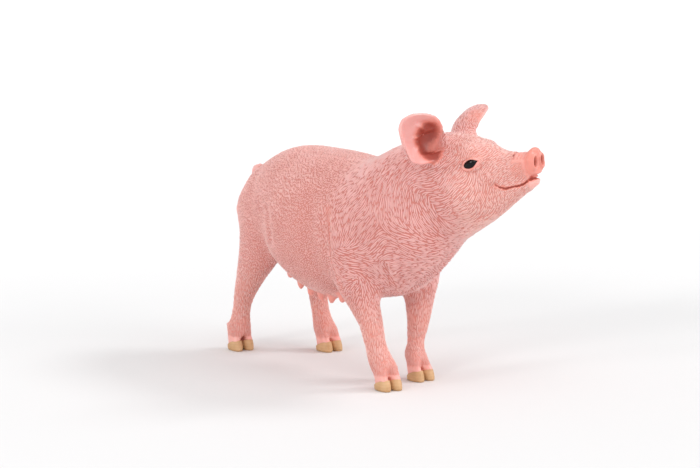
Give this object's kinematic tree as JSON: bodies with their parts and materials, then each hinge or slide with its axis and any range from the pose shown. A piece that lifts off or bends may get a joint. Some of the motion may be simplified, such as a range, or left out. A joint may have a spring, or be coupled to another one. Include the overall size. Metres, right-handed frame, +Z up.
{
  "type": "toy pig figurine",
  "caption": "Solid vinyl toy sow that stands with its head raised and turned to its left, with cupped ears, a curled tail, teats and painted cloven hooves.",
  "frame": {"origin": "on the floor under the middle of the figure's box", "axes": "+X from the rump to the snout, +Y to the animal's left, +Z up; the soles stand on z = 0"},
  "size_m": [0.1078, 0.043, 0.0724],
  "materials": {
    "pink_vinyl": "satin moulded vinyl, fine hair strokes in relief",
    "hoof_tan": "matte tan paint on vinyl",
    "eye_black": "glossy black paint on vinyl"
  },
  "bodies": {
    "root": {"trunk": "pink_vinyl", "neck": "pink_vinyl", "head": "pink_vinyl", "snout": "pink_vinyl", "lower_jaw": "pink_vinyl", "ear_left": "pink_vinyl", "ear_right": "pink_vinyl", "foreleg_left": "pink_vinyl", "foreleg_right": "pink_vinyl", "hindleg_left": "pink_vinyl", "hindleg_right": "pink_vinyl", "tail": "pink_vinyl", "eye_left": "eye_black", "eye_right": "eye_black", "hoof_front_left_inner": "hoof_tan", "hoof_front_left_outer": "hoof_tan", "hoof_front_right_inner": "hoof_tan", "hoof_front_right_outer": "hoof_tan", "hoof_hind_left_inner": "hoof_tan", "hoof_hind_left_outer": "hoof_tan", "hoof_hind_right_inner": "hoof_tan", "hoof_hind_right_outer": "hoof_tan"}
  },
  "joints": []
}
